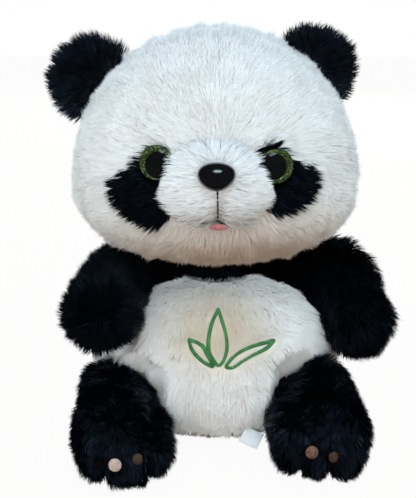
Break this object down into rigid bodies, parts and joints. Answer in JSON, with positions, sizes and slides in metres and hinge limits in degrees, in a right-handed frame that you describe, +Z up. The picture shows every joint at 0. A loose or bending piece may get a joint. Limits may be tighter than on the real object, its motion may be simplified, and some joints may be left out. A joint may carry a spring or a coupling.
{
  "type": "plush panda",
  "caption": "Seated plush panda with a large round head, black patches, ears and limbs, safety eyes and nose, embroidered leaves and a blank side label.",
  "frame": {"origin": "middle of the seat's flat underside, on the surface that the toy sits on", "axes": "+Z up, -Y the way the toy faces, +X towards the toy's own left"},
  "size_m": [0.2457, 0.2385, 0.297],
  "materials": {
    "white_fur": "long white plush pile, 9 mm",
    "black_fur": "long black plush pile, 9 mm",
    "stuffing_fibre": "polyester fibre fill",
    "pellet_bag_cotton": "plain cotton bag filled with pellets",
    "black_plastic": "polished black",
    "clear_plastic": "polished clear dome",
    "washer_plastic": "moulded, natural",
    "iris_glitter": "green glitter foil",
    "green_thread": "satin-stitch embroidery",
    "black_thread": "stitched thread",
    "pink_felt": "felt",
    "brown_suede": "short-nap suede cloth",
    "pink_suede": "short-nap suede cloth",
    "label_satin": "blank woven satin tape"
  },
  "bodies": {
    "torso": {"shoulder_yoke": "black_fur", "belly_panel": "white_fur", "back_panel": "white_fur", "seat_panel": "white_fur", "torso_stuffing": "stuffing_fibre", "pellet_bag": "pellet_bag_cotton", "leaf_left": "green_thread", "leaf_middle": "green_thread", "leaf_right": "green_thread"},
    "neck": {"neck_cover": "black_fur", "neck_stuffing": "stuffing_fibre"},
    "head": {"face_panel": "white_fur", "head_back_panel": "white_fur", "head_stuffing": "stuffing_fibre", "muzzle_cover": "white_fur", "muzzle_stuffing": "stuffing_fibre", "eye_patch_left": "black_fur", "eye_patch_right": "black_fur", "eye_stem_left": "black_plastic", "eye_iris_left": "iris_glitter", "eye_dome_left": "clear_plastic", "eye_washer_left": "washer_plastic", "eye_stem_right": "black_plastic", "eye_iris_right": "iris_glitter", "eye_dome_right": "clear_plastic", "eye_washer_right": "washer_plastic", "nose": "black_plastic", "nose_washer": "washer_plastic", "philtrum_stitch": "black_thread", "lip_stitch": "black_thread", "tongue": "pink_felt"},
    "ear_left": {"ear_cover_left": "black_fur", "ear_stuffing_left": "stuffing_fibre"},
    "ear_right": {"ear_cover_right": "black_fur", "ear_stuffing_right": "stuffing_fibre"},
    "arm_left": {"arm_left_cover": "black_fur", "arm_left_stuffing": "stuffing_fibre"},
    "arm_right": {"arm_right_cover": "black_fur", "arm_right_stuffing": "stuffing_fibre"},
    "leg_left": {"leg_left_cover": "black_fur", "leg_left_stuffing": "stuffing_fibre", "nail_left_1": "brown_suede", "nail_left_2": "brown_suede"},
    "leg_right": {"leg_right_cover": "black_fur", "leg_right_stuffing": "stuffing_fibre", "nail_right_1": "pink_suede", "nail_right_2": "brown_suede"},
    "tail": {"tail_cover": "white_fur", "tail_stuffing": "stuffing_fibre"},
    "label": {"label": "label_satin"}
  },
  "joints": [
    {"name": "neck_turn", "type": "hinge", "parent": "torso", "child": "neck", "pos_m": [0, -0.006, 0.131], "axis": [0, 0, 1], "range_deg": [-25, 25], "stiffness_Nm_per_rad": 0.4},
    {"name": "head_nod", "type": "hinge", "parent": "neck", "child": "head", "pos_m": [0, -0.006, 0.131], "axis": [1, 0, 0], "range_deg": [-10, 8], "stiffness_Nm_per_rad": 0.8},
    {"name": "ear_left_fold", "type": "hinge", "parent": "head", "child": "ear_left", "pos_m": [0.06406, 0.002, 0.25757], "axis": [0.7257, 0, -0.688], "range_deg": [-12, 12], "stiffness_Nm_per_rad": 0.02},
    {"name": "ear_right_fold", "type": "hinge", "parent": "head", "child": "ear_right", "pos_m": [-0.07889, 0.002, 0.25382], "axis": [0.6289, 0, 0.7774], "range_deg": [-12, 12], "stiffness_Nm_per_rad": 0.02},
    {"name": "arm_left_swing", "type": "hinge", "parent": "torso", "child": "arm_left", "pos_m": [0.078, -0.003, 0.1195], "axis": [1, 0, 0], "range_deg": [-50, 12], "stiffness_Nm_per_rad": 0.06},
    {"name": "arm_right_swing", "type": "hinge", "parent": "torso", "child": "arm_right", "pos_m": [-0.07, -0.011, 0.1155], "axis": [1, 0, 0], "range_deg": [-18, 20], "stiffness_Nm_per_rad": 0.06},
    {"name": "leg_left_swing", "type": "hinge", "parent": "torso", "child": "leg_left", "pos_m": [0.066, -0.04, 0.032], "axis": [1, 0, 0], "range_deg": [-30, 8], "stiffness_Nm_per_rad": 0.12},
    {"name": "leg_right_swing", "type": "hinge", "parent": "torso", "child": "leg_right", "pos_m": [-0.066, -0.043, 0.032], "axis": [1, 0, 0], "range_deg": [-30, 8], "stiffness_Nm_per_rad": 0.12},
    {"name": "tail_lift", "type": "hinge", "parent": "torso", "child": "tail", "pos_m": [0, 0.074, 0.04], "axis": [1, 0, 0], "range_deg": [-12, 12], "stiffness_Nm_per_rad": 0.01},
    {"name": "label_lift", "type": "hinge", "parent": "torso", "child": "label", "pos_m": [0.0245, -0.06716, 0.015], "axis": [1, 0, 0], "range_deg": [-35, 0], "stiffness_Nm_per_rad": 0.0001}
  ]
}
